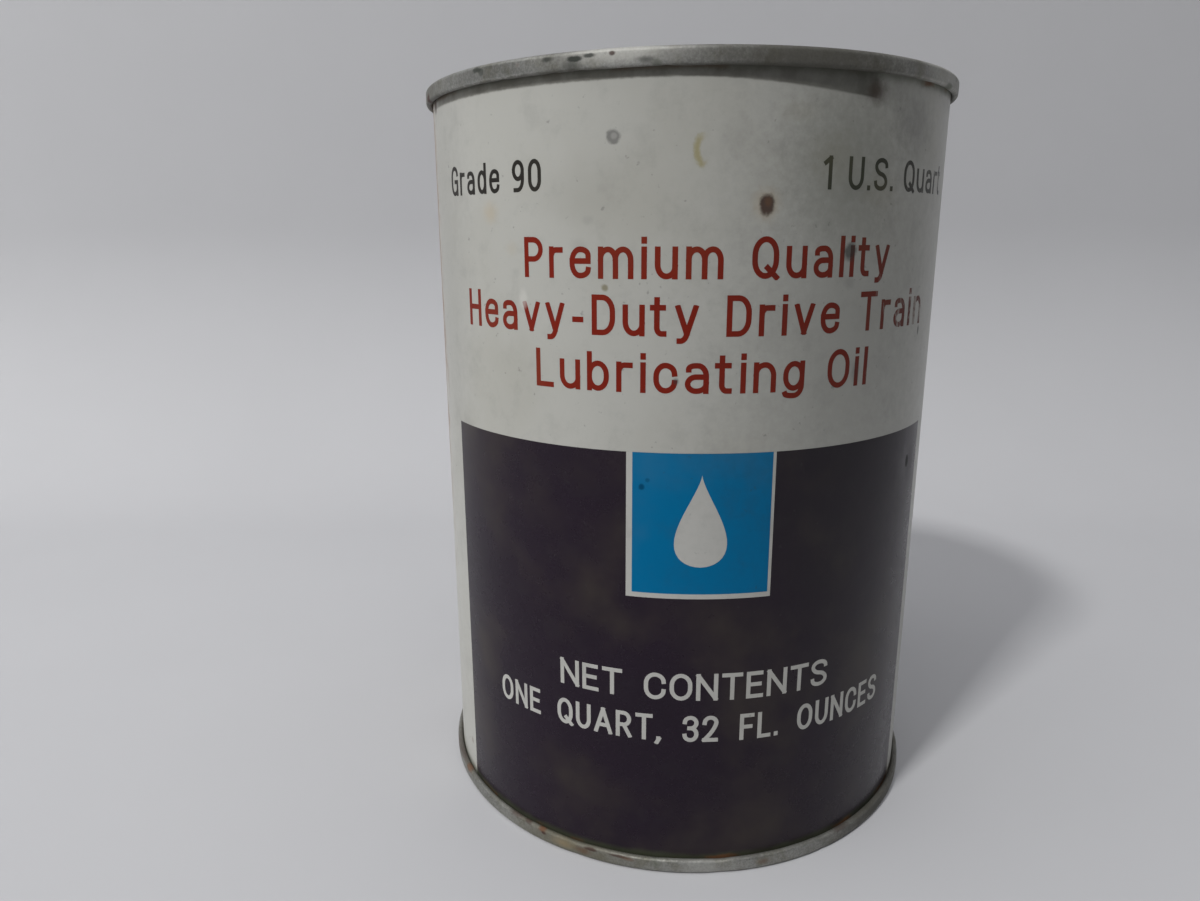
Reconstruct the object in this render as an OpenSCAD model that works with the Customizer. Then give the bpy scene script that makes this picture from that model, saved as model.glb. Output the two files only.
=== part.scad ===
// One-quart steel can for gear lubricant: a rolled body with a lock side seam,
// two stamped ends double-seamed onto it, the sealing compound in each seam,
// the solder in the side seam and the lubricant inside.
// Millimetres, +Z up, origin on the axis in the plane that the can stands on.
// The printed face looks along -Y and the side seam is at -X.

/* [Can] */
// Height over both double seams
can_h = 141.3; // [130:0.1:160]
// Outside diameter of the body wall
body_d = 100.3; // [90:0.1:110]
// Thickness of the body plate
body_plate = 0.28; // [0.24:0.01:0.3]
// Thickness of the end plate
end_plate = 0.32; // [0.28:0.01:0.34]

/* [Double seam] */
// Height of the double seam
seam_h = 2.8; // [2.7:0.05:3.2]
// Centreline radius of the two corners of the seaming panel
panel_corner = 0.55; // [0.5:0.01:0.6]
// Centreline radius where the end plate turns up into its hook
hook_corner = 0.38; // [0.34:0.01:0.4]
// Centreline radius of the two corners of the body flange
flange_corner = 0.35; // [0.3:0.01:0.37]
// Height of compound between the seaming panel and the body flange
compound_h = 0.15; // [0.12:0.01:0.2]
// Radial depth of compound outside the body hook
compound_w = 0.16; // [0.14:0.01:0.3]

/* [Ends] */
// Depth from the seam's face to the floor of the countersink
countersink = 3.7; // [3.4:0.1:4.5]
// Radius of the flat centre panel
centre_r = 27; // [20:0.5:28]
// Radial width of each flat ring between the steps
ring_w = 5.2; // [4:0.1:5.5]
// Radial width of each step
step_w = 1.2; // [1:0.1:1.4]
// Height of each step
step_h = 0.5; // [0.3:0.05:0.7]

/* [Side seam] */
// Length of the straight part of each folded layer
lock_w = 2.2; // [1.8:0.1:2.6]
// Distance from each end of the can to the start of the lock
lock_end = 8; // [6.5:0.5:15]
// Arc length from the lock to the edge of the slot in the wall
lock_reach = 3.9; // [3.8:0.1:5]

/* [Contents] */
// Height of the lubricant's surface above the base plane
fill_level = 124.5; // [20:0.1:126]

/* [Hidden] */
$fn = 96;

corner_steps = 6;      // chords in each quarter turn of a sheet
step_steps = 6;        // chords in each panel step
air = 0.01;            // clearance between compound, solder, fill and plate
wall_gap = 0.02;       // between the chuck wall and the body wall
hook_gap = 0.08;       // between the body wall and the end's hook
layer_gap = 0.10;      // between the end's hook and the body hook
tip_gap = 0.25;        // from the tip of the body hook to the end plate
hook_top = 1.1;        // depth of the tip of the end's hook below the seam's face
compound_stop = 0.5;   // from the compound's edge to the tip of the body hook

// Radii to the middle of each plate, from the wall outwards.
body_r = body_d / 2;
chuck_r = body_r - body_plate - wall_gap - end_plate / 2;
wall_r = body_r - body_plate / 2;
end_hook_r = body_r + hook_gap + end_plate / 2;
body_hook_r = end_hook_r + end_plate / 2 + layer_gap + body_plate / 2;
skirt_r = body_hook_r + body_plate / 2 + compound_w + end_plate / 2;

// Depths to the middle of each plate, from the seam's face inwards.
panel_y = end_plate / 2;                                // seaming panel
flange_y = end_plate + compound_h + body_plate / 2;     // body flange
curl_y = seam_h - end_plate / 2;                        // turn of the end's hook
groove_y = countersink + end_plate / 2;                 // floor of the countersink
groove_rise = 0.9;                                      // from that floor up to the panel
ring_y = groove_y - groove_rise;                        // panel
groove_w = 1.9;                                         // width of the countersink's floor and slope
groove_corner = 0.7;                                    // outer corner of its floor

// ---------------------------------------------------------------- plate outlines

// Points of a quarter turn about c from angle a to angle b.
function turn(c, r, a, b, n = corner_steps) =
    [for (i = [0 : n]) let (t = a + (b - a) * i / n) c + r * [cos(t), sin(t)]];

// A smooth step from point p to point q, level at both ends.
function ease(p, q, n = step_steps) =
    [for (i = [0 : n]) let (t = i / n)
        [p.x + (q.x - p.x) * t, p.y + (q.y - p.y) * (1 - cos(180 * t)) / 2]];

function unit(v) = v / norm(v);
function left_of(v) = [-v.y, v.x];

// The mitred offset of an open line by d to its left.
function beside(path, d) =
    [for (i = [0 : len(path) - 1])
        let (
            before = unit(path[max(i, 1)] - path[max(i, 1) - 1]),
            after = unit(path[min(i, len(path) - 2) + 1] - path[min(i, len(path) - 2)]),
            way = unit(before + after)
        )
        path[i] + left_of(way) * d / (way * after)];

function backwards(path) = [for (i = [len(path) - 1 : -1 : 0]) path[i]];

// The closed outline of a plate of thickness t along a line.
function plate(path, t) = concat(beside(path, t / 2), backwards(beside(path, -t / 2)));

// Height y up from the base for the bottom of the can, and down from the top for its top.
function flip(path) = [for (p = backwards(path)) [p.x, can_h - p.y]];

// The body from the tip of its hook, round its flange and up to the wall.
body_curl = concat(
    [[body_hook_r, seam_h - end_plate - tip_gap]],
    turn([body_hook_r - flange_corner, flange_y + flange_corner], flange_corner, 0, -90),
    turn([wall_r + flange_corner, flange_y + flange_corner], flange_corner, -90, -180)
);

// The panel of an end from the axis to the countersink: three rings with a step between each.
function ring_start(i) = centre_r + i * (ring_w + step_w);
panel_line = concat(
    [[0, ring_y]],
    [for (i = [0, 1]) each ease(
        [ring_start(i), ring_y - (i % 2) * step_h],
        [ring_start(i) + step_w, ring_y - ((i + 1) % 2) * step_h]
    )],
    ease(
        [chuck_r - groove_corner - groove_w, ring_y],
        [chuck_r - groove_corner - groove_w / 3, groove_y]
    )
);

// The rest of an end: countersink, chuck wall, seaming panel, skirt and hook.
chuck_line = concat(
    turn([chuck_r - groove_corner, groove_y - groove_corner], groove_corner, 90, 0),
    turn([chuck_r + panel_corner, panel_y + panel_corner], panel_corner, 180, 270),
    turn([skirt_r - panel_corner, panel_y + panel_corner], panel_corner, 270, 360)
);
hook_line = concat(
    turn([skirt_r - hook_corner, curl_y - hook_corner], hook_corner, 0, 90),
    turn([end_hook_r + hook_corner, curl_y - hook_corner], hook_corner, 90, 180),
    [[end_hook_r, hook_top]]
);

// ------------------------------------------------------------------- side seam

fold_t = body_plate - 0.02;        // thickness of the folded layers
pitch = body_plate + 0.03;         // from layer to layer
fold_x = lock_w / 2;               // centre of each fold
overlap = 0.2;                     // the folds run this far into the wall
reach = lock_reach + overlap;
slope_w = 1.1;                     // width of the jog down to the inmost layer
slope_end = lock_reach - 0.7;      // where the jog meets the wall's level
inner_tip = 0.1;                   // from each folded edge to the fold that holds it
outer_tip = 0.2;

jog = ease([slope_end - slope_w, -3 * pitch], [slope_end, 0]);

// The wall's left edge, folded inwards under itself: layers 1 and 3.
left_fold = concat(
    [[-reach, 0], [-reach / 2, 0]],
    turn([fold_x, -pitch], pitch, 90, -90, 2 * corner_steps),
    [[inner_tip - fold_x, -2 * pitch]]
);
// The wall's right edge, jogged inwards and folded back: layers 4 and 2.
right_fold = concat(
    [[reach, 0]],
    backwards(jog),
    turn([-fold_x, -2 * pitch], pitch, 270, 90, 2 * corner_steps),
    [[fold_x - outer_tip, -pitch]]
);

// A flat outline bent round the can, so that x runs along the wall and y outwards.
function bent(points) =
    [for (p = points) let (a = p.x / wall_r * 180 / PI) (wall_r + p.y) * [sin(a), -cos(a)]];

// ---------------------------------------------------------------------- modules

module at_side_seam() {
    rotate([0, 0, -90]) translate([0, 0, lock_end]) children();
}

module can_body() color("WhiteSmoke") {
    difference() {
        rotate_extrude() polygon(plate(concat(body_curl, flip(body_curl)), body_plate));
        at_side_seam()
            translate([-lock_reach, -body_r - 1, 0])
                cube([2 * lock_reach, 3, can_h - 2 * lock_end]);
    }
    at_side_seam() for (fold = [left_fold, right_fold])
        linear_extrude(can_h - 2 * lock_end) polygon(bent(plate(fold, fold_t)));
}

// Solder that fills the groove between the outer fold and the jog.
module side_seam_solder() color("Gainsboro") {
    skin = fold_t / 2 + air;
    fold_side = turn([fold_x, -pitch], pitch + skin, 75, -40);
    jog_side = [for (p = beside(backwards(jog), -skin)) if (p.x > fold_x + 2 * pitch) p];
    at_side_seam()
        linear_extrude(can_h - 2 * lock_end)
            polygon(bent(concat(fold_side, backwards(jog_side))));
}

module can_end() {
    rotate_extrude() polygon(plate(concat(panel_line, chuck_line, hook_line), end_plate));
}

module bottom_end() color("Silver") can_end();

module top_end() color("Silver") translate([0, 0, can_h]) mirror([0, 0, 1]) can_end();

// Compound between the seaming panel and the body flange, and down outside the body hook.
module seam_compound() {
    depth = seam_h - end_plate - tip_gap - compound_stop;
    end_side = end_plate / 2 + air;
    body_side = body_plate / 2 + air;
    outer = concat(
        turn([chuck_r + panel_corner, panel_y + panel_corner], panel_corner - end_side, 225, 270),
        turn([skirt_r - panel_corner, panel_y + panel_corner], panel_corner - end_side, 270, 360),
        [[skirt_r - end_side, depth]]
    );
    inner = concat(
        [[body_hook_r + body_side, depth]],
        turn([body_hook_r - flange_corner, flange_y + flange_corner], flange_corner + body_side, 0, -90),
        turn([wall_r + flange_corner, flange_y + flange_corner], flange_corner + body_side, -90, -135)
    );
    rotate_extrude() polygon(concat(outer, inner));
}

module bottom_seam_compound() color("SlateGray") seam_compound();

module top_seam_compound() color("SlateGray")
    translate([0, 0, can_h]) mirror([0, 0, 1]) seam_compound();

// The lubricant: up from the bottom end's panel, clear of the wall and of the folds.
module gear_lubricant() color("DarkGoldenrod") {
    fill_r = body_r - body_plate - wall_gap;
    floor_line = beside(panel_line, end_plate / 2 + air);
    countersink_y = groove_y + end_plate / 2 + air;
    lock_depth = 5 * pitch;
    difference() {
        rotate_extrude() polygon(concat(
            floor_line, [[fill_r, countersink_y], [fill_r, fill_level], [0, fill_level]]
        ));
        at_side_seam()
            translate([-reach, -body_r, -wall_gap])
                cube([2 * reach, lock_depth, can_h]);
    }
}

can_body();
side_seam_solder();
top_end();
bottom_end();
top_seam_compound();
bottom_seam_compound();
gear_lubricant();
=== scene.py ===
"""Looks of the quart can: finer plates, the print, the solder, and every material.

Sizes are in millimetres, and become metres where each mesh is made. A place on the wall is
(s, z): s is the arc length from the middle of the front, to the right, and z is the height.
"""

import math

import bmesh
import bpy
import numpy as np
from mathutils import Euler, Matrix, Vector
from mathutils.geometry import delaunay_2d_cdt


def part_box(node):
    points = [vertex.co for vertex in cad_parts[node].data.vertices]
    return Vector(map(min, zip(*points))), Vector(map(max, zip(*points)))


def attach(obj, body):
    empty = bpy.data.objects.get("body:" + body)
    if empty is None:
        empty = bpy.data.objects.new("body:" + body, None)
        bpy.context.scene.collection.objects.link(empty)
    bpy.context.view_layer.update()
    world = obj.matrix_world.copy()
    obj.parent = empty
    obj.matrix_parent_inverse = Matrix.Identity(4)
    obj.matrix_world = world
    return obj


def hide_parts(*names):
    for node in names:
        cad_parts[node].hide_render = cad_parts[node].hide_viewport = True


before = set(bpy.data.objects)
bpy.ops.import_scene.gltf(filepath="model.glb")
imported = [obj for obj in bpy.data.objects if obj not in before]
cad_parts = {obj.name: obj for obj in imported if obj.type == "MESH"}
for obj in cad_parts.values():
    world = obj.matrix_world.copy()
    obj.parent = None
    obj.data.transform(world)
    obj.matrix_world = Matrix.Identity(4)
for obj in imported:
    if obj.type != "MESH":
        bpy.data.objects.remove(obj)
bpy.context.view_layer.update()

MM = 0.001

# ------------------------------------------------------------------ the can's dimensions

CAN_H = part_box("top_end")[1].z / MM
RIM_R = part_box("bottom_end")[1].x / MM
BODY_R = 50.15
BODY_PLATE = 0.28
END_PLATE = 0.32
SEAM_H = 2.8
PANEL_CORNER = 0.55
HOOK_CORNER = 0.38
FLANGE_CORNER = 0.35
COUNTERSINK = 3.7
GROOVE_RISE = 0.9
GROOVE_W = 1.9
GROOVE_CORNER = 0.7
CENTRE_R = 27
RING_W = 5.2
STEP_W = 1.2
STEP_H = 0.5
HOOK_TOP = 1.1
TIP_GAP = 0.25
COMPOUND_H = 0.15
WALL_GAP = 0.02
HOOK_GAP = 0.08
LAYER_GAP = 0.10

WALL_R = BODY_R - BODY_PLATE / 2
CHUCK_R = BODY_R - BODY_PLATE - WALL_GAP - END_PLATE / 2
END_HOOK_R = BODY_R + HOOK_GAP + END_PLATE / 2
BODY_HOOK_R = END_HOOK_R + END_PLATE / 2 + LAYER_GAP + BODY_PLATE / 2
SKIRT_R = RIM_R - END_PLATE / 2
PANEL_Y = END_PLATE / 2
FLANGE_Y = END_PLATE + COMPOUND_H + BODY_PLATE / 2
CURL_Y = SEAM_H - END_PLATE / 2
GROOVE_Y = COUNTERSINK + END_PLATE / 2
RING_Y = GROOVE_Y - GROOVE_RISE

SEAM_SIDE = math.radians(-90)      # the side seam's angle from the middle of the front
LOCK_END = 8.0                     # from each end of the can to the lock
LOCK_FADE = 0.3                    # the groove runs out over this much before and after that
SOLDER_FROM, SOLDER_TO = 1.05, 3.2  # the solder's groove, along the wall from the seam's middle
SOLDER_STEEP = 0.4                 # width of its steep side, along the fold
SOLDER_SLOPE = 2.0                 # where its gentle side starts
SOLDER_DEPTH = 0.55
BARE_MARGIN = 4.6                  # half width of the strip left unprinted for soldering

# --------------------------------------------------------------------- plates and lathes


def turn(cx, cy, radius, start, end, steps=10):
    """Points of an arc about (cx, cy), with its angles in degrees."""
    a = np.radians(np.linspace(start, end, steps + 1))
    return np.column_stack([cx + radius * np.cos(a), cy + radius * np.sin(a)])


def ease(x0, y0, x1, y1, steps=10):
    """Points of a smooth step, level at both ends."""
    t = np.linspace(0, 1, steps + 1)
    return np.column_stack([x0 + (x1 - x0) * t, y0 + (y1 - y0) * (1 - np.cos(np.pi * t)) / 2])


def beside(path, distance):
    """The mitred offset of an open line to its left."""
    leg = np.diff(path, axis=0)
    leg /= np.linalg.norm(leg, axis=1)[:, None]
    before = np.vstack([leg[:1], leg])
    after = np.vstack([leg, leg[-1:]])
    way = before + after
    way /= np.linalg.norm(way, axis=1)[:, None]
    reach = distance / np.sum(way * after, axis=1)
    return path + np.column_stack([-way[:, 1], way[:, 0]]) * reach[:, None]


def plate(path, thickness):
    """The closed outline of a plate along a line."""
    return np.vstack([beside(path, thickness / 2), beside(path, -thickness / 2)[::-1]])


def smooth(x, low, high):
    """0 below low, 1 above high, and a smooth step between them."""
    t = np.clip((x - low) / (high - low), 0, 1)
    return t * t * (3 - 2 * t)


def make_mesh(name, verts, faces, sharp=40):
    """An object from points in millimetres, with smooth faces and sharp edges over an angle."""
    mesh = bpy.data.meshes.new(name)
    mesh.from_pydata((np.asarray(verts) * MM).tolist(), [], [list(map(int, f)) for f in faces])
    bm = bmesh.new()
    bm.from_mesh(mesh)
    bmesh.ops.remove_doubles(bm, verts=bm.verts, dist=1e-4 * MM)
    bmesh.ops.recalc_face_normals(bm, faces=bm.faces)
    bm.to_mesh(mesh)
    bm.free()
    mesh.shade_smooth()
    mesh.set_sharp_from_angle(angle=math.radians(sharp))
    piece = bpy.data.objects.new(name, mesh)
    bpy.context.scene.collection.objects.link(piece)
    return piece


def around(angle, radius, height):
    """Points at an angle from the middle of the front, a radius and a height."""
    return np.stack([radius * np.sin(angle), -radius * np.cos(angle), height], axis=-1)


def lathe(name, outline, angles, shift):
    """A closed outline turned about the can's axis. shift gives each point's move in r and z."""
    a, r = np.meshgrid(angles, outline[:, 0], indexing="ij")
    z = np.broadcast_to(outline[:, 1], a.shape)
    dr, dz = shift(a, r, z)
    rows, columns = a.shape
    index = np.arange(rows * columns).reshape(rows, columns)
    ring = np.roll(index, -1, axis=0)
    faces = np.stack([index, ring, np.roll(ring, -1, axis=1), np.roll(index, -1, axis=1)], axis=-1)
    return make_mesh(name, around(a, r + dr, z + dz).reshape(-1, 3), faces.reshape(-1, 4))


# ------------------------------------------------------------------- dents in the plates

# Shallow dents in the wall: (s, z, half width, half height, depth).
DENTS = [
    (47.4, 73.2, 2.2, 3.0, 0.16),
    (40.0, 128.0, 8.0, 6.0, 0.14),
    (-33.0, 30.0, 12.0, 9.0, 0.10),
    (26.0, 84.0, 14.0, 10.0, 0.08),
    (-112.0, 96.0, 9.0, 7.0, 0.22),
    (128.0, 44.0, 6.0, 10.0, 0.25),
    (98.0, 110.0, 10.0, 5.0, 0.18),
]
WAVE = 0.035            # height of the slow waves that rolling leaves in the wall
DENT_CLEAR = 9.0        # no dent reaches nearer to the can's ends than this
RIM_NICKS = 16          # nicks in each rim
NICK_HALF_W = (0.5, 2.2)  # least and greatest half width of a nick
NICK_DEPTH = (0.03, 0.17)  # least and greatest depth
RIM_CLEAR = 0.01        # least distance of each rim inside its full radius
RIM_BARREL = 0.10       # how far the rim draws in at its top and bottom


def dent(angle, z):
    """How far the wall lies inside its true cylinder."""
    depth = WAVE * (np.sin(5 * angle + 0.8) * np.cos(z / 31) + np.sin(9 * angle + z / 47))
    for s0, z0, half_w, half_h, deep in DENTS:
        along = (angle - s0 / BODY_R + np.pi) % (2 * np.pi) - np.pi
        depth = depth + deep * np.exp(-(along * BODY_R / half_w) ** 2 - ((z - z0) / half_h) ** 2)
    return depth * smooth(np.minimum(z, CAN_H - z), DENT_CLEAR / 2, DENT_CLEAR)


def from_seam(angle):
    """Arc length from the middle of the side seam."""
    return ((angle - SEAM_SIDE + np.pi) % (2 * np.pi) - np.pi) * WALL_R


def groove(angle, z):
    """Depth of the groove beside the side seam's fold."""
    s = from_seam(angle)
    across = smooth(s, SOLDER_FROM, SOLDER_FROM + SOLDER_STEEP) * (1 - smooth(s, SOLDER_SLOPE, SOLDER_TO))
    from_end = np.minimum(z, CAN_H - z)
    return SOLDER_DEPTH * across * smooth(from_end, LOCK_END - LOCK_FADE, LOCK_END + LOCK_FADE)


def wall_shift(angle, r, z):
    """The dents and the groove of the wall, as a shift for lathe. The hooks outside it stay put."""
    on_wall = smooth(BODY_R + 0.06 - r, 0, 0.05)
    return -(dent(angle, z) + groove(angle, z)) * on_wall, np.zeros_like(z)


def rim_shift(seed):
    """The nicks and waves of one rim, as a shift for lathe."""
    rng = np.random.default_rng(seed)
    places = rng.uniform(-np.pi, np.pi, RIM_NICKS)
    half_widths = rng.uniform(*NICK_HALF_W, RIM_NICKS)
    depths = rng.uniform(*NICK_DEPTH, RIM_NICKS)
    heights = rng.uniform(0.4, SEAM_H, RIM_NICKS)

    def shift(angle, r, z):
        from_face = np.minimum(z, CAN_H - z)
        skirt = smooth(r, RIM_R - 0.9, RIM_R - 0.3)
        inward = 0.03 * np.sin(3 * angle + seed) + 0.02 * np.sin(11 * angle)
        inward = inward + RIM_BARREL * np.minimum((2 * from_face / SEAM_H - 1) ** 2, 1)
        curl = 0.04 * np.sin(7 * angle + seed) + 0.03 * np.sin(23 * angle)
        for place, half_w, deep, height in zip(places, half_widths, depths, heights):
            along = ((angle - place + np.pi) % (2 * np.pi) - np.pi) * RIM_R
            spot = np.exp(-(along / half_w) ** 2)
            inward = inward + deep * spot * np.exp(-((from_face - height) / 0.9) ** 2)
            curl = curl + deep * spot
        lower_edge = smooth(from_face, SEAM_H - 0.9, SEAM_H) * smooth(r, BODY_R + 0.05, BODY_R + 0.3)
        upwards = np.where(z < CAN_H / 2, 1, -1)
        return -np.maximum(inward, RIM_CLEAR) * skirt, -np.maximum(curl, 0) * lower_edge * upwards

    return shift


# --------------------------------------------------------------------- body and its ends

body_curl = np.vstack([
    [[BODY_HOOK_R, SEAM_H - END_PLATE - TIP_GAP]],
    turn(BODY_HOOK_R - FLANGE_CORNER, FLANGE_Y + FLANGE_CORNER, FLANGE_CORNER, 0, -90),
    turn(WALL_R + FLANGE_CORNER, FLANGE_Y + FLANGE_CORNER, FLANGE_CORNER, -90, -180),
])
WALL_ROW = 1.6          # height of each row of faces in the wall
SEAM_SPAN = 6.0         # the wall has narrow faces this far to each side of its seam
SEAM_COLUMN = 0.15      # width of those faces
WALL_COLUMN = 0.018     # angle that each other face takes
COLUMN_GAP = 0.005      # least angle of the last of them
END_COLUMNS = 420       # faces round each end
SKIRT_ROWS = np.linspace(1.0, 2.0, 5)  # heights of the points that let the skirt bulge
wall_rows = np.arange(SEAM_H, CAN_H - SEAM_H, WALL_ROW)
body_line = np.vstack([
    body_curl,
    np.column_stack([np.full_like(wall_rows, WALL_R), wall_rows]),
    (body_curl * [1, -1] + [0, CAN_H])[::-1],
])
seam_columns = SEAM_SIDE + np.arange(-SEAM_SPAN, SEAM_SPAN, SEAM_COLUMN) / WALL_R
other_columns = np.arange(
    seam_columns[-1] + WALL_COLUMN, seam_columns[0] + 2 * np.pi - COLUMN_GAP, WALL_COLUMN
)
can_body = lathe(
    "can_body_plate", plate(body_line, BODY_PLATE), np.concatenate([seam_columns, other_columns]),
    wall_shift,
)


def ring_start(i):
    """Radius at which a step of the panel starts."""
    return CENTRE_R + i * (RING_W + STEP_W)


end_line = np.vstack([
    [[0, RING_Y]],
    ease(ring_start(0), RING_Y, ring_start(0) + STEP_W, RING_Y - STEP_H),
    ease(ring_start(1), RING_Y - STEP_H, ring_start(1) + STEP_W, RING_Y),
    ease(CHUCK_R - GROOVE_CORNER - GROOVE_W, RING_Y,
         CHUCK_R - GROOVE_CORNER - GROOVE_W / 3, GROOVE_Y),
    turn(CHUCK_R - GROOVE_CORNER, GROOVE_Y - GROOVE_CORNER, GROOVE_CORNER, 90, 0),
    turn(CHUCK_R + PANEL_CORNER, PANEL_Y + PANEL_CORNER, PANEL_CORNER, 180, 270),
    turn(SKIRT_R - PANEL_CORNER, PANEL_Y + PANEL_CORNER, PANEL_CORNER, 270, 360),
    np.column_stack([np.full_like(SKIRT_ROWS, SKIRT_R), SKIRT_ROWS]),
    turn(SKIRT_R - HOOK_CORNER, CURL_Y - HOOK_CORNER, HOOK_CORNER, 0, 90),
    turn(END_HOOK_R + HOOK_CORNER, CURL_Y - HOOK_CORNER, HOOK_CORNER, 90, 180),
    [[END_HOOK_R, HOOK_TOP]],
])
end_columns = np.linspace(0, 2 * np.pi, END_COLUMNS, endpoint=False)
end_outline = plate(end_line, END_PLATE)
bottom_end = lathe("bottom_end_plate", end_outline, end_columns, rim_shift(3))
top_end = lathe("top_end_plate", end_outline * [1, -1] + [0, CAN_H], end_columns, rim_shift(8))

# --------------------------------------------------------------------------- solder bead


BEAD_ROW = 0.4          # height of each row of faces in the bead
BEAD_COLUMNS = 22
BEAD_LAP = 0.15, 0.25   # the bead laps this far over the groove's two sides
BEAD_RIPPLE = 0.05
BEAD_SINK = 0.10        # the bead's middle lies this far below its sides
BEAD_EDGE = 0.015       # its sides stand this far out of the wall
BEAD_ROOT = 0.12        # its back lies this far below the groove's floor


def solder_bead():
    """A low, rippled strip that fills the groove, feathered out on the wall at both sides."""
    rng = np.random.default_rng(5)
    z = np.arange(LOCK_END, CAN_H - LOCK_END, BEAD_ROW)
    s = np.linspace(SOLDER_FROM - BEAD_LAP[0], SOLDER_TO + BEAD_LAP[1], BEAD_COLUMNS)
    t = np.linspace(0, 1, len(s))
    phases = rng.uniform(0, 2 * np.pi, 6)
    ripple = sum(np.sin(z[:, None] / (0.7 + 1.3 * i) + 2 * t + p) for i, p in enumerate(phases)) / 6
    swell = np.sin(np.pi * t) * (BEAD_RIPPLE * ripple - BEAD_SINK)
    angle = SEAM_SIDE + np.broadcast_to(s, swell.shape) / WALL_R
    height = np.broadcast_to(z[:, None], swell.shape)
    level = BODY_R - dent(angle, height)
    ends = smooth(np.minimum(height, CAN_H - height), LOCK_END, LOCK_END + 0.8)
    top = around(angle, level + BEAD_EDGE + swell * ends, height)
    under = around(angle, level - groove(angle, height) - BEAD_ROOT, height)
    rows, columns = swell.shape
    index = np.arange(rows * columns).reshape(rows, columns)
    below = index + rows * columns
    faces = []
    for grid in (index, below):
        faces += list(np.stack(
            [grid[:-1, :-1], grid[:-1, 1:], grid[1:, 1:], grid[1:, :-1]], axis=-1
        ).reshape(-1, 4))
    rim = np.concatenate([index[0], index[1:, -1], index[-1, -2::-1], index[-2:0:-1, 0]])
    for i, j in zip(rim, np.roll(rim, -1)):
        faces.append([i, j, j + rows * columns, i + rows * columns])
    verts = np.vstack([top.reshape(-1, 3), under.reshape(-1, 3)])
    return make_mesh("side_seam_solder_bead", verts, faces)


solder = solder_bead()

# ------------------------------------------------------------------------------- lettering

X = 0.735               # height of the small letters
LOW = -0.2              # depth of their tails


def bowl(x0, x1, y0, y1, r):
    """A closed round stroke, from the middle of its left side."""
    middle = (y0 + y1) / 2
    return [(x0, middle), (x0, y1, r), (x1, y1, r), (x1, y0, r), (x0, y0, r), (x0, middle)]


def hook(x0, x1, y0, y1, r, open_y):
    """Most of a round stroke, open on its right side by the heights in open_y."""
    return [(x1, open_y[1]), (x1, y1, r), (x0, y1, r), (x0, y0, r), (x1, y0, r), (x1, open_y[0])]


def arch(x0, x1, r):
    """The right part of an n: up to a round shoulder and down to the base."""
    return [(x0, X - 0.25), (x0, X, r), (x1, X, r), (x1, 0)]


STEM = [(0, 0), (0, 1)]
SHORT_STEM = [(0, 0), (0, X)]

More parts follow.
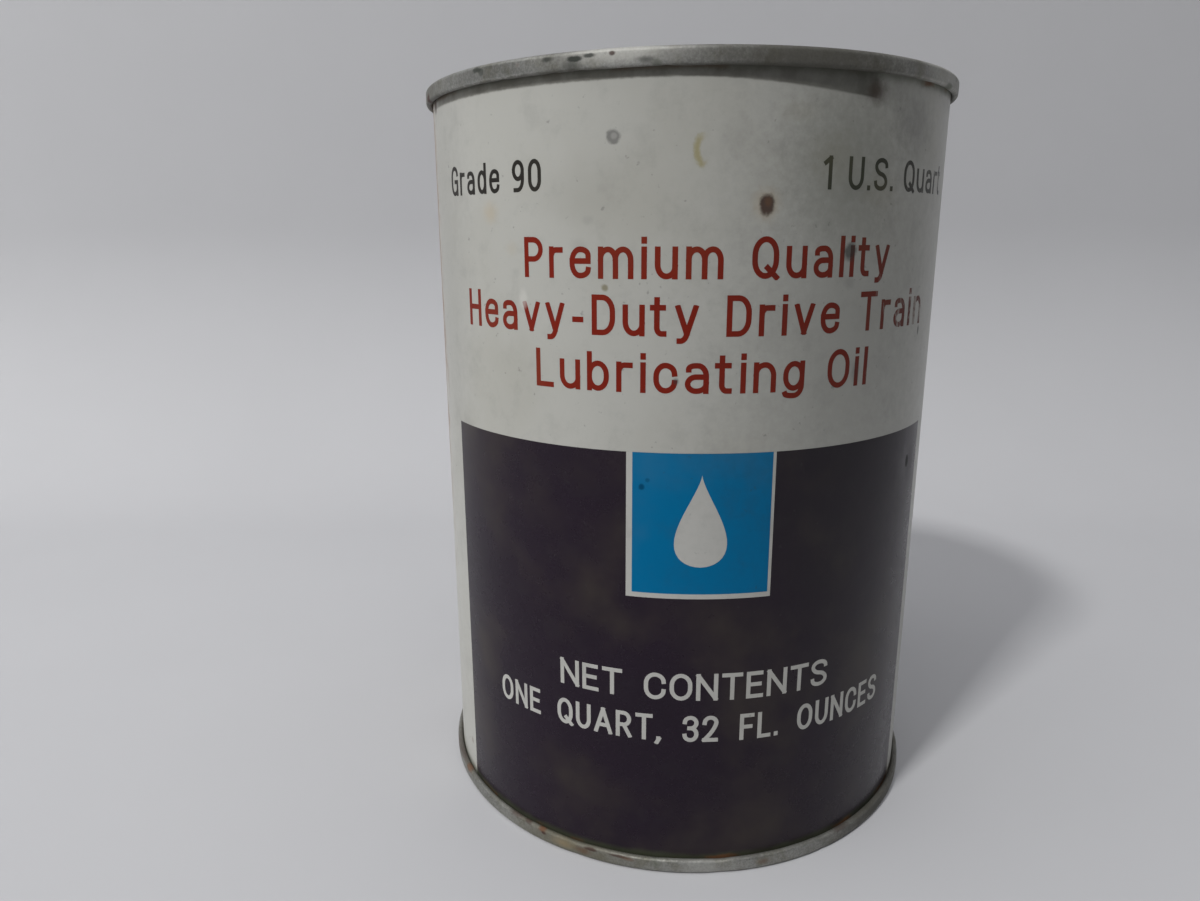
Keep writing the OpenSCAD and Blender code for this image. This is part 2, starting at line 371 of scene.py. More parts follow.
# Each glyph is its width and the middle lines of its strokes, in cap heights. A third number
# rounds that corner. Every stroke runs on half a stroke's width past its ends.
GLYPHS = {
    "A": (0.60, [[(0, 0), (0.3, 1)], [(0.6, 0), (0.3, 1)], [(0.13, 0.3), (0.47, 0.3)]]),
    "C": (0.54, [hook(0, 0.54, 0, 1, 0.27, (0.3, 0.7))]),
    "D": (0.50, [STEM, [(0, 1), (0.5, 1, 0.27), (0.5, 0, 0.27), (0, 0)]]),
    "E": (0.42, [STEM, [(0, 1), (0.4, 1)], [(0, 0.52), (0.36, 0.52)], [(0, 0), (0.42, 0)]]),
    "F": (0.42, [STEM, [(0, 1), (0.42, 1)], [(0, 0.5), (0.36, 0.5)]]),
    "G": (0.54, [hook(0, 0.54, 0, 1, 0.27, (0.25, 0.76)), [(0.34, 0.47), (0.54, 0.47), (0.54, 0)]]),
    "H": (0.50, [STEM, [(0.5, 0), (0.5, 1)], [(0, 0.52), (0.5, 0.52)]]),
    "L": (0.40, [STEM, [(0, 0), (0.4, 0)]]),
    "N": (0.54, [STEM, [(0, 1), (0.54, 0)], [(0.54, 0), (0.54, 1)]]),
    "O": (0.56, [bowl(0, 0.56, 0, 1, 0.28)]),
    "P": (0.48, [STEM, [(0, 1), (0.48, 1, 0.24), (0.48, 0.45, 0.24), (0, 0.45)]]),
    "Q": (0.56, [bowl(0, 0.56, 0, 1, 0.28), [(0.34, 0.22), (0.58, -0.04)]]),
    "R": (0.48, [STEM, [(0, 1), (0.46, 1, 0.23), (0.46, 0.47, 0.23), (0, 0.47)],
                 [(0.27, 0.42), (0.48, 0)]]),
    "S": (0.50, [[(0.49, 0.81), (0.49, 1, 0.24), (0, 1, 0.24), (0, 0.56, 0.25), (0.5, 0.46, 0.25),
                  (0.5, 0, 0.25), (0, 0, 0.25), (0, 0.2)]]),
    "T": (0.52, [[(0, 1), (0.52, 1)], [(0.26, 0), (0.26, 1)]]),
    "U": (0.50, [[(0, 1), (0, 0, 0.25), (0.5, 0, 0.25), (0.5, 1)]]),
    "a": (0.46, [[(0.02, 0.62), (0, X, 0.18), (0.44, X, 0.2), (0.44, 0)],
                 [(0.44, 0.41), (0, 0.41, 0.2), (0, 0, 0.2), (0.44, 0, 0.24), (0.44, 0.2)]]),
    "b": (0.44, [STEM, bowl(0, 0.44, 0, X, 0.22)]),
    "c": (0.44, [hook(0, 0.44, 0, X, 0.22, (0.24, X - 0.24))]),
    "d": (0.44, [[(0.44, 0), (0.44, 1)], bowl(0, 0.44, 0, X, 0.22)]),
    "e": (0.46, [[(0, 0.41), (0.46, 0.41), (0.46, X, 0.21), (0, X, 0.23), (0, 0, 0.23),
                  (0.46, 0, 0.23), (0.46, 0.17)]]),
    "g": (0.44, [bowl(0, 0.44, 0.02, X, 0.22),
                 [(0.44, X), (0.44, LOW, 0.2), (0, LOW, 0.2), (0, -0.14)]]),
    "i": (0.00, [SHORT_STEM, [(0, 0.97), (0, 1)]]),
    "l": (0.00, [STEM]),
    "m": (0.80, [SHORT_STEM, arch(0, 0.4, 0.2), arch(0.4, 0.8, 0.2)]),
    "n": (0.44, [SHORT_STEM, arch(0, 0.44, 0.22)]),
    "r": (0.28, [SHORT_STEM, [(0, X - 0.25), (0, X - 0.02, 0.14), (0.28, X - 0.02)]]),
    "t": (0.24, [[(0.04, 0.95), (0.04, 0, 0.12), (0.22, 0)], [(-0.07, X), (0.2, X)]]),
    "u": (0.44, [[(0.44, 0), (0.44, X)], [(0, X), (0, 0, 0.22), (0.44, 0, 0.22), (0.44, 0.25)]]),
    "v": (0.44, [[(0, X), (0.22, 0)], [(0.44, X), (0.22, 0)]]),
    "y": (0.44, [[(0, X), (0.22, 0.02)], [(0.44, X), (0.17, LOW, 0.1), (0.04, LOW)]]),
    "0": (0.46, [bowl(0, 0.46, 0, 1, 0.23)]),
    "1": (0.22, [[(0.2, 0), (0.2, 1)], [(0.02, 0.84), (0.2, 1)]]),
    "2": (0.46, [[(0, 0.76), (0, 1, 0.23), (0.46, 1, 0.23), (0.46, 0.56, 0.3), (0, 0)],
                 [(0, 0), (0.46, 0)]]),
    "3": (0.46, [[(0, 0.8), (0, 1, 0.23), (0.45, 1, 0.23), (0.45, 0.53, 0.23), (0.18, 0.53)],
                 [(0.18, 0.53), (0.46, 0.53, 0.23), (0.46, 0, 0.23), (0, 0, 0.23), (0, 0.2)]]),
    "9": (0.46, [bowl(0, 0.46, 0.4, 1, 0.23), [(0.46, 0.7), (0.46, 0, 0.26), (0.06, 0)]]),
    ".": (0.00, [[(0, 0), (0, 0.02)]]),
    ",": (0.00, [[(0, 0.0), (0, 0.02)], [(0.02, 0.0), (-0.06, -0.16)]]),
    "-": (0.26, [[(0.04, 0.35), (0.22, 0.35)]]),
}
ROUND_Y = 1.5           # corners are this much longer up the letter than across it


def rounded(points, wide, tall):
    """A stroke's middle line in millimetres, with its marked corners turned into arcs."""
    scaled = [np.array([p[0] * wide, p[1] * tall]) for p in points]
    line = [scaled[0]]
    for i in range(1, len(points) - 1):
        corner = scaled[i]
        if len(points[i]) == 2:
            line.append(corner)
            continue
        ends = []
        for j in (i - 1, i + 1):
            leg = scaled[j] - corner
            length = np.linalg.norm(leg)
            upright = abs(leg[1]) > abs(leg[0])
            reach = points[i][2] * (ROUND_Y * tall if upright else wide)
            limit = length if j in (0, len(points) - 1) else length / 2
            ends.append(corner + leg / length * min(reach, limit))
        for t in np.linspace(0, 1, 8):
            weights = np.array([(1 - t) ** 2, math.sqrt(2) * t * (1 - t), t * t])
            line.append(weights @ np.array([ends[0], corner, ends[1]]) / weights.sum())
    line.append(scaled[-1])
    kept = [line[0]]
    for p in line[1:]:
        if np.linalg.norm(p - kept[-1]) > 1e-3:
            kept.append(p)
    return np.array(kept)


def stroke_quads(points, wide, tall, weight):
    """The four-sided faces of one stroke, which run on half its weight past both ends."""
    line = rounded(points, wide, tall)
    for end, inner in ((0, 1), (-1, -2)):
        leg = line[end] - line[inner]
        line[end] = line[end] + leg / np.linalg.norm(leg) * weight / 2
    left, right = beside(line, weight / 2), beside(line, -weight / 2)
    return [[right[i], right[i + 1], left[i + 1], left[i]] for i in range(len(line) - 1)]


def united(polygons):
    """One flat mesh, (points, triangles), that covers what the polygons cover."""
    points, faces = [], []
    for polygon in polygons:
        turned = sum(a[0] * b[1] - b[0] * a[1] for a, b in zip(polygon, polygon[1:] + polygon[:1]))
        faces.append(list(range(len(points), len(points) + len(polygon))))
        points += [Vector(p) for p in (polygon if turned > 0 else polygon[::-1])]
    out, _, triangles, _, _, covers = delaunay_2d_cdt(points, [], faces, 0, 1e-4)
    return [(p.x, p.y) for p in out], [t for t, over in zip(triangles, covers) if over]


def cut_above_and_below(points, faces, low, high):
    """The flat mesh between two heights."""
    bm = bmesh.new()
    verts = [bm.verts.new((x, y, 0)) for x, y in points]
    for f in faces:
        bm.faces.new([verts[i] for i in f])
    for height, up in ((low, -1), (high, 1)):
        bmesh.ops.bisect_plane(
            bm, geom=bm.verts[:] + bm.edges[:] + bm.faces[:], dist=1e-5,
            plane_co=(0, height, 0), plane_no=(0, up, 0), clear_outer=True,
        )
    bm.verts.index_update()
    result = [(v.co.x, v.co.y) for v in bm.verts], [[v.index for v in f.verts] for f in bm.faces]
    bm.free()
    return result


def line_of_text(text, centre, base, cap, width, weight, gap, word_gap):
    """Flat letters, stretched to fill the width. cap is the outer height of the capitals, and
    the gaps are shares of it."""
    tall = cap - weight
    pitch = weight + gap * cap
    words = text.split()
    gaps = (len("".join(words)) - 1) * pitch + (len(words) - 1) * word_gap * cap
    wide = (width - weight - gaps) / sum(GLYPHS[c][0] for c in "".join(words))
    left = centre - (width - weight) / 2
    flat = []
    for character in text:
        if character == " ":
            left += word_gap * cap
            continue
        glyph_w, strokes = GLYPHS[character]
        heights = [p[1] * tall for s in strokes for p in s]
        points, faces = united([q for s in strokes for q in stroke_quads(s, wide, tall, weight)])
        points, faces = cut_above_and_below(
            points, faces, min(heights) - weight / 2, max(heights) + weight / 2
        )
        flat.append(([(x + left, y + base + weight / 2) for x, y in points], faces))
        left += glyph_w * wide + pitch
    return flat


# ----------------------------------------------------------------------------- print

INK_COLUMN = 1.0        # widest face in a printed patch
INK_ROW = 2.0           # tallest face in a printed patch
INK_ROOT = 0.03         # ink reaches this far into the enamel, so that it has no gap under it
INK_STEP = 0.018        # height of each layer of ink over the one below


def printed(name, patches, layer, middle):
    """Flat patches of ink, wrapped on the wall round an angle, as thin closed solids."""
    bm = bmesh.new()
    for points, faces in patches:
        verts = [bm.verts.new((x, y, 0)) for x, y in points]
        for f in faces:
            bm.faces.new([verts[i] for i in f])
    xs = [v.co.x for v in bm.verts]
    ys = [v.co.y for v in bm.verts]
    cuts = [((x, 0, 0), (1, 0, 0)) for x in np.arange(min(xs), max(xs), INK_COLUMN)[1:]]
    cuts += [((0, y, 0), (0, 1, 0)) for y in np.arange(min(ys), max(ys), INK_ROW)[1:]]
    for place, normal in cuts:
        bmesh.ops.bisect_plane(
            bm, geom=bm.verts[:] + bm.edges[:] + bm.faces[:], dist=1e-5,
            plane_co=place, plane_no=normal,
        )
    bm.verts.index_update()
    flat = np.array([v.co[:2] for v in bm.verts])
    fronts = [[v.index for v in f.verts] for f in bm.faces]
    border = [[v.index for v in e.verts] for e in bm.edges if len(e.link_faces) == 1]
    bm.free()
    angle = middle + flat[:, 0] / BODY_R
    wall = BODY_R - dent(angle, flat[:, 1])
    outer = around(angle, wall + INK_STEP * layer, flat[:, 1])
    inner = around(angle, wall - INK_ROOT, flat[:, 1])
    count = len(flat)
    backs = [[i + count for i in reversed(f)] for f in fronts]
    edges = [[i, j, j + count, i + count] for i, j in border]
    return make_mesh(name, np.vstack([outer, inner]), fronts + backs + edges)


def patch(left, right, low, high):
    """A flat rectangle of ink."""
    return [(left, low), (right, low), (right, high), (left, high)], [[0, 1, 2, 3]]


def drop(centre, low, high, half_w):
    """A drop of oil: a circle that draws up to a point."""
    t = np.linspace(0, 2 * np.pi, 49)[:-1]
    taper = np.sin(t / 2) ** 1.9
    x = centre + half_w * 1.3 * np.sin(t) * taper
    y = low + (high - low) * (1 + np.cos(t)) / 2
    return list(zip(x, y)), [list(range(len(t)))]


PANEL_TOP = 80.0
PANEL_LOW = 2.0
PANEL_HALF = 53.2       # half width, along the wall
BADGE_HALF = 12.5       # the white frame that hangs from the top of the panel
BADGE_LOW = 54.4
BLUE_LEFT, BLUE_RIGHT, BLUE_LOW = -11.45, 11.95, 55.3  # printed a little out of register
# The three sizes of lettering: height and weight of the strokes, and shares of the height.
RED = {"cap": 6.45, "weight": 0.89, "gap": 0.19, "word_gap": 0.5}
WHITE = {"cap": 5.2, "weight": 0.76, "gap": 0.13, "word_gap": 0.62}
BLACK = {"cap": 5.0, "weight": 0.68, "gap": 0.17, "word_gap": 0.45}

panel = [patch(-PANEL_HALF, PANEL_HALF, PANEL_LOW, PANEL_TOP)]
frame_patch = [patch(-BADGE_HALF, BADGE_HALF, BADGE_LOW, PANEL_TOP)]
blue = [patch(BLUE_LEFT, BLUE_RIGHT, BLUE_LOW, PANEL_TOP)]
white_drop = [drop(0.1, 60.2, 76.4, 5.2)]
contents = line_of_text("NET CONTENTS", 0.1, 35.1, width=50.6, **WHITE)
contents += line_of_text("ONE QUART, 32 FL. OUNCES", 0.3, 26.9, width=81.5, **WHITE)
heading = line_of_text("Premium Quality", 1.3, 107.9, width=64.8, **RED)
heading += line_of_text("Heavy-Duty Drive Train", 0.2, 99.0, width=94.0, **RED)
heading += line_of_text("Lubricating Oil", 0.5, 89.9, width=59.2, **RED)
codes = line_of_text("Grade 90", -39.9, 121.4, width=25.2, **BLACK)
codes += line_of_text("1 U.S. Quart", 35.6, 121.3, width=35.0, **BLACK)

# Each printed piece is its name, its ink, its patches and how many layers of ink it stands on.
PRINT = (
    ("panel", "panel", panel, 1),
    ("badge_frame", "white", frame_patch, 2),
    ("badge", "blue", blue, 3),
    ("drop", "white", white_drop, 4),
    ("contents", "white", contents, 2),
    ("heading", "red", heading, 1),
    ("codes", "code", codes, 1),
)
print_pieces = {"panel": [], "white": [], "blue": [], "red": [], "code": []}
for side, middle in (("front", 0), ("back", math.pi)):
    for name, ink, patches, layer in PRINT:
        print_pieces[ink].append(printed(f"print_{name}_{side}", patches, layer, middle))

# --------------------------------------------------------------------------- shader nodes


class Nodes:
    """Adds nodes to a tree. An input is a value, or another node's output."""

    def __init__(self, tree):
        self.tree = tree

    def add(self, kind, inputs=(), **settings):
        node = self.tree.nodes.new("ShaderNode" + kind)
        for key, value in settings.items():
            setattr(node, key, value)
        for key, value in dict(inputs).items():
            if isinstance(value, bpy.types.NodeSocket):
                self.tree.links.new(value, node.inputs[key])
            else:
                node.inputs[key].default_value = value
        return node

    def calc(self, operation, *values):
        return self.add("Math", dict(enumerate(values)), operation=operation).outputs[0]

    def step(self, value, low, high):
        """0 at low and 1 at high, smoothly, in either order."""
        node = self.add(
            "MapRange", {"Value": value, "From Min": low, "From Max": high},
            interpolation_type="SMOOTHSTEP",
        )
        return node.outputs["Result"]

    def mix(self, amount, a, b):
        """Colour a where amount is 0, and b where it is 1."""
        a, b = [(*c, 1) if isinstance(c, tuple) and len(c) == 3 else c for c in (a, b)]
        node = self.add("Mix", {0: amount}, data_type="RGBA")
        for socket, value in ((node.inputs[6], a), (node.inputs[7], b)):
            if isinstance(value, bpy.types.NodeSocket):
                self.tree.links.new(value, socket)
            else:
                socket.default_value = value
        return node.outputs[2]

    def blend(self, amount, a, b):
        """Number a where amount is 0, and b where it is 1."""
        return self.add("Mix", {0: amount, 2: a, 3: b}, data_type="FLOAT").outputs[0]

    def noise(self, scale, detail=3.0, rough=0.55, stretch=(1, 1, 1), shift=0.0):
        """Noise in object space, with its scale in features per millimetre."""
        place = self.add("TexCoord").outputs["Object"]
        mapped = self.add("Mapping", {
            "Vector": place, "Location": (shift, shift, shift),
            "Scale": tuple(k * scale / MM for k in stretch),
        }).outputs[0]
        node = self.add(
            "TexNoise", {"Vector": mapped, "Scale": 1.0, "Detail": detail, "Roughness": rough}
        )
        return node.outputs["Fac"]

    def wall_place(self):
        """(s, z) on the wall, in millimetres."""
        place = self.add("TexCoord").outputs["Object"]
        axes = self.add("SeparateXYZ", {0: place}).outputs
        angle = self.calc("ARCTAN2", axes[0], self.calc("MULTIPLY", axes[1], -1.0))
        return self.calc("MULTIPLY", angle, BODY_R), self.calc("MULTIPLY", axes[2], 1 / MM)


def new_material(name):
    material = bpy.data.materials.new(name)
    material.use_nodes = True
    return material, Nodes(material.node_tree), material.node_tree.nodes["Principled BSDF"]


def link(nodes, shader, **sockets):
    for key, value in sockets.items():
        nodes.tree.links.new(value, shader.inputs[key.replace("_", " ")])


def bump(nodes, shader, height, distance, strength=1.0):
    """Bump from a height between 0 and 1, times a distance in millimetres."""
    node = nodes.add("Bump", {"Height": height, "Distance": distance * MM, "Strength": strength})
    nodes.tree.links.new(node.outputs[0], shader.inputs["Normal"])


# ------------------------------------------------------------------------------ weathering and painted shade

RUST_DARK = (0.045, 0.017, 0.010)
RUST = (0.13, 0.055, 0.022)
OLIVE = (0.17, 0.15, 0.08)
SMUT_AND_SHADE = (0.035, 0.034, 0.034)
OCHRE = (0.42, 0.30, 0.14)
MOSS = (0.06, 0.07, 0.04)
SHADE_AND_GRIME = (0.050, 0.046, 0.034)
PALE = (0.55, 0.54, 0.50)
STAIN = (0.23, 0.115, 0.07)
DRIED_OIL = (0.27, 0.235, 0.10)
TAR_AND_SHADE = (0.020, 0.024, 0.018)
BLUE_DARK = (0.0, 0.045, 0.11)

# Marks on the wall: (s, z, half width, half height, colour, strength, softness).
MARKS = [
    # the rusty spot in its yellow halo
    (8.9, 119.0, 2.2, 2.5, OCHRE, 0.35, 0.9),
    (8.9, 119.0, 1.25, 1.6, RUST_DARK, 0.95, 0.35),
    (9.1, 119.4, 0.6, 0.8, RUST, 0.5, 0.6),
    # the grey ring
    (-14.7, 129.1, 1.2, 1.15, SMUT_AND_SHADE, 0.62, 0.3),
    (-14.6, 129.2, 0.6, 0.55, PALE, 0.22, 0.5),
    # yellow blots at the left
    (-39.2, 118.4, 2.0, 1.9, OCHRE, 0.28, 0.9),
    (-34.0, 112.5, 1.4, 1.2, OCHRE, 0.12, 0.9),
    # smudges and chips between the printed lines
    (24.3, 111.9, 1.3, 1.6, SMUT_AND_SHADE, 0.8, 0.5),
    (24.6, 107.0, 1.3, 1.0, SMUT_AND_SHADE, 0.16, 0.8),
    (27.3, 92.4, 1.0, 2.0, SMUT_AND_SHADE, 0.28, 0.7),
    (-16.1, 106.5, 0.6, 0.6, OLIVE, 0.8, 0.6),
    (-31.6, 104.3, 1.0, 1.6, PALE, 0.5, 0.6),
    (-4.5, 91.9, 0.55, 0.6, SMUT_AND_SHADE, 0.55, 0.5),
    # dark dents by the right limb
    (47.5, 73.2, 0.8, 1.3, SMUT_AND_SHADE, 0.85, 0.4),
    (46.9, 97.8, 0.5, 0.9, SMUT_AND_SHADE, 0.6, 0.5),
    # spots on the blue square
    (-9.9, 74.1, 0.55, 0.6, BLUE_DARK, 0.8, 0.5),
    (-8.9, 75.3, 0.4, 0.4, BLUE_DARK, 0.5, 0.5),
    # the rust blotch where the painted shadow below the top seam stops
    (27.7, 136.0, 2.3, 1.8, RUST_DARK, 0.75, 0.9),
    # wide dim patches: the first is painted shade over the right of the front, the second painted shade on
    # the left limb, and the third painted shadow where the top seam's shadow runs on past the band's end
    (25.0, 100.0, 24.0, 60.0, TAR_AND_SHADE, 0.30, 0.9),
    (-56.0, 110.0, 11.0, 50.0, SMUT_AND_SHADE, 0.18, 0.9),
    (39.0, 131.8, 6.0, 5.0, SMUT_AND_SHADE, 0.25, 0.9),
    (23.0, 125.0, 12.0, 13.0, MOSS, 0.30, 0.9),
    (20.0, 126.0, 5.0, 4.0, OLIVE, 0.14, 0.9),
    (13.5, 132.5, 3.5, 1.6, OLIVE, 0.14, 0.9),
    (30.5, 121.5, 4.0, 3.0, OLIVE, 0.14, 0.9),
    (-21.0, 121.0, 9.0, 5.0, SMUT_AND_SHADE, 0.05, 0.9),
    # small faint ones at the left
    (-20.5, 113.0, 1.6, 1.2, SMUT_AND_SHADE, 0.10, 0.8),
    (-19.0, 116.8, 1.0, 0.8, SMUT_AND_SHADE, 0.12, 0.8),
    (-33.2, 108.6, 0.9, 0.8, SMUT_AND_SHADE, 0.10, 0.8),
    # rust by the left limb
    (-62.0, 138.0, 1.5, 1.8, RUST_DARK, 0.8, 0.7),
    (-55.6, 9.0, 0.7, 0.8, RUST, 0.4, 0.6),
    # made-up marks on the sides and the back
    (-88.5, 112.0, 2.4, 3.4, RUST_DARK, 0.7, 0.6),
    (-72.0, 30.0, 2.2, 9.0, RUST, 0.4, 0.8),
    (112.0, 124.0, 1.8, 1.5, RUST_DARK, 0.85, 0.4),
    (96.0, 88.0, 1.2, 1.0, SMUT_AND_SHADE, 0.6, 0.5),
    (140.0, 102.0, 2.6, 1.4, OLIVE, 0.5, 0.6),
    (-120.0, 131.0, 1.4, 2.6, RUST, 0.7, 0.5),
    (-140.0, 84.0, 1.0, 1.2, RUST_DARK, 0.8, 0.4),
]
CRESCENT = (-1.3, 126.8, 1.3, 2.4)  # the dried drip: (s, z, half width, half height)
SHADOW_BAND_LEFT, SHADOW_BAND_RIGHT = 1.3, 3.7   # depth of the painted shadow, with grime, below the top seam, at each end

# Marks on the two seams, in the same form.
SEAM_MARKS = [
    # wide dim and pale parts: the dim ones are painted shade, the pale ones a painted highlight and
    # painted reflections, and the olive one is the tin's own tint
    (15.5, 140.0, 22.0, 5.0, SHADE_AND_GRIME, 0.86, 0.8),
    (46.0, 140.0, 9.0, 3.5, PALE, 0.40, 0.9),
    (-61.0, 140.0, 11.0, 4.5, SHADE_AND_GRIME, 0.60, 0.9),
    (-23.0, 140.0, 5.0, 4.0, SHADE_AND_GRIME, 0.45, 0.9),
    (-13.0, 140.6, 9.0, 2.0, PALE, 0.55, 0.9),
    (44.0, 1.5, 19.0, 4.0, SHADE_AND_GRIME, 0.84, 0.9),
    (2.0, 1.4, 6.0, 3.0, PALE, 0.24, 0.9),
    (-23.0, 1.4, 12.0, 3.5, SHADE_AND_GRIME, 0.58, 0.9),
    (-24.0, 1.4, 16.0, 3.5, OLIVE, 0.35, 0.9),
    # spots of tar and rust
    (-39.9, 140.6, 1.2, 0.55, TAR_AND_SHADE, 0.9, 0.5),
    (-38.7, 140.1, 0.8, 0.7, TAR_AND_SHADE, 0.8, 0.5),
    (-30.5, 140.2, 0.5, 0.4, RUST_DARK, 0.5, 0.7),
    (-25.0, 140.4, 1.0, 0.4, TAR_AND_SHADE, 0.8, 0.7),
    (-20.4, 140.1, 1.3, 0.45, TAR_AND_SHADE, 0.95, 0.4),
    (-20.8, 139.3, 1.6, 0.7, TAR_AND_SHADE, 0.6, 0.8),
    (-18.0, 140.4, 1.0, 0.35, TAR_AND_SHADE, 0.85, 0.5),
    (-9.6, 139.4, 1.4, 0.5, TAR_AND_SHADE, 0.7, 0.8),
    (-14.5, 140.5, 0.5, 0.35, RUST_DARK, 0.85, 0.5),
    (-8.0, 138.9, 0.8, 0.5, MOSS, 0.5, 0.8),
    (-62.3, 139.1, 1.8, 0.9, RUST_DARK, 0.95, 0.6),
    (-67.0, 1.9, 5.5, 1.0, RUST_DARK, 0.8, 0.9),
    (-60.5, 2.6, 4.0, 0.5, RUST_DARK, 0.6, 0.8),
    (49.0, 138.7, 2.0, 0.6, MOSS, 0.7, 0.7),
    (-55.4, 2.5, 1.6, 0.7, RUST, 0.8, 0.6),
    (-36.2, 2.7, 1.9, 0.55, RUST_DARK, 0.6, 0.7),
    (-33.0, 2.7, 1.0, 0.45, RUST_DARK, 0.7, 0.6),
    (-29.4, 2.6, 0.9, 0.6, RUST, 0.9, 0.6),
    (-29.0, 2.1, 0.6, 0.3, RUST_DARK, 0.9, 0.5),
    (-24.5, 1.7, 2.6, 0.9, OCHRE, 0.35, 0.9),
    (-20.4, 1.5, 1.6, 0.8, RUST, 0.55, 0.8),
    (-18.8, 2.3, 1.3, 0.35, RUST_DARK, 0.85, 0.5),
    (-13.4, 2.3, 2.0, 0.25, RUST_DARK, 0.8, 0.5),
    (-11.6, 2.1, 1.3, 0.4, RUST, 0.55, 0.8),
    (-6.6, 1.9, 0.9, 0.9, MOSS, 0.5, 0.9),
    (13.2, 1.6, 1.2, 0.7, RUST, 0.5, 0.8),
    (31.0, 2.6, 2.2, 0.5, RUST_DARK, 0.5, 0.8),
]


def lay_marks(n, marks, place, ragged, lay):
    """Lays each mark of a list through lay(amount, colour)."""
    s, z = place
    for s0, z0, half_w, half_h, tint, strength, softness in marks:
        across = n.calc("DIVIDE", n.calc("SUBTRACT", s, s0), half_w)
        up = n.calc("DIVIDE", n.calc("SUBTRACT", z, z0), half_h)
        far = n.calc("SQRT", n.calc("ADD", n.calc("MULTIPLY", across, across), n.calc("MULTIPLY", up, up)))
        inside = n.step(n.calc("ADD", far, ragged), 1 + softness / 2, 1 - softness)
        lay(n.calc("MULTIPLY", inside, strength), tint)


